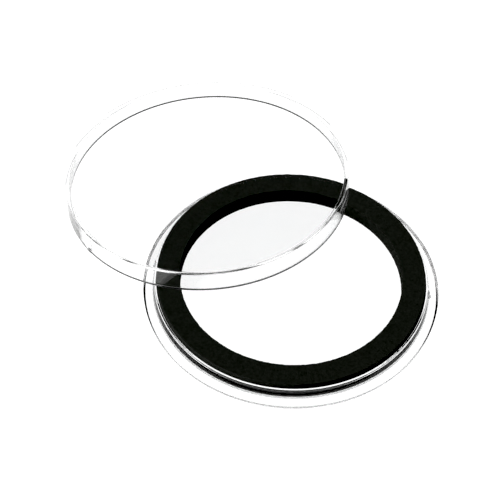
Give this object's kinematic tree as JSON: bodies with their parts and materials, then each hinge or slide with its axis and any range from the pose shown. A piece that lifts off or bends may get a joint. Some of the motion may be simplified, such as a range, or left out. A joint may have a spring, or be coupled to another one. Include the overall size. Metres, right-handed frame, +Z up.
{
  "type": "coin capsule",
  "caption": "Round clear coin capsule, open: a flanged lower shell holds a black foam ring for the coin, and the skirted lid leans on the ring with its back edge on the table.",
  "frame": {"origin": "centre of the lower shell's underside, on the surface that it stands on", "axes": "+Z up, along the lower shell's axis of symmetry. The open lid leans towards +Z over the shell from behind and to the left, at 125.9 degrees from +X towards +Y"},
  "size_m": [0.0712, 0.0775, 0.0103],
  "materials": {
    "clear_plastic": "polished, colourless and see-through, injection moulded",
    "black_foam": "matt black closed-cell foam, die cut"
  },
  "bodies": {
    "lower_shell": {"lower_shell": "clear_plastic"},
    "foam_ring": {"foam_ring": "black_foam"},
    "lid": {"lid": "clear_plastic"}
  },
  "joints": [
    {"name": "lid_lift", "type": "slide", "parent": "lower_shell", "child": "lid", "axis": [0, 0, 1], "range_m": [0, 0.025]},
    {"name": "foam_ring_lift", "type": "slide", "parent": "lower_shell", "child": "foam_ring", "axis": [0, 0, 1], "range_m": [0, 0.0125]}
  ],
  "couplings": [
    {"joint": "foam_ring_lift", "follows": "lid_lift", "ratio": 0.5}
  ]
}
